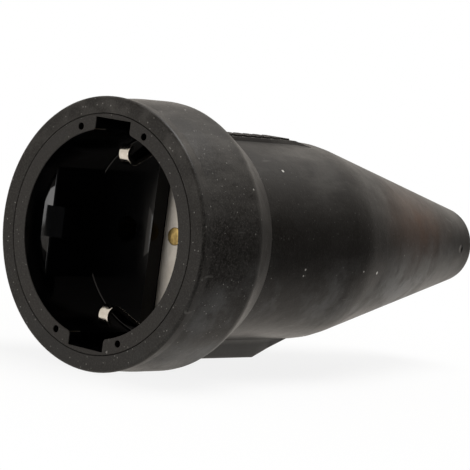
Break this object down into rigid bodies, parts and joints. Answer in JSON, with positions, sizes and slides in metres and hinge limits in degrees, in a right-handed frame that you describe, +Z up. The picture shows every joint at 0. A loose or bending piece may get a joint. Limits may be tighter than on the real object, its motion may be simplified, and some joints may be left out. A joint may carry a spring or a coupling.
{
  "type": "inline socket connector",
  "caption": "Inline mains socket for a cord's end: rubber sleeve with a round collar and long cone, recessed insert with contact holes and side earth clips.",
  "frame": {"origin": "centre of the plug recess's mouth, on the front face", "axes": "+Y along the connector from the front face to the tail; +Z up, from the foot to the top plate, along the line of the two earth clips; the contact holes lie on X"},
  "size_m": [0.052, 0.1113, 0.052],
  "materials": {
    "rubber": "satin, scuffed",
    "ring_plastic": "matt",
    "insert_plastic": "gloss",
    "carrier_plastic": "matt",
    "nickel": "bright nickel plate",
    "brass": "plain",
    "steel": "zinc plated"
  },
  "bodies": {
    "root": {"sleeve": "rubber", "front_ring": "ring_plastic", "socket_body": "insert_plastic", "contact_base": "carrier_plastic", "cord_clamp": "carrier_plastic", "earth_strip": "nickel", "earth_rivet": "brass", "earth_terminal": "brass", "contact_live": "brass", "spring_ring_live": "steel", "terminal_screw_live": "steel", "contact_neutral": "brass", "spring_ring_neutral": "steel", "terminal_screw_neutral": "steel", "terminal_screw_earth": "steel", "base_screw_upper": "steel", "base_screw_lower": "steel", "clamp_screw_left": "steel", "clamp_screw_right": "steel"}
  },
  "joints": []
}
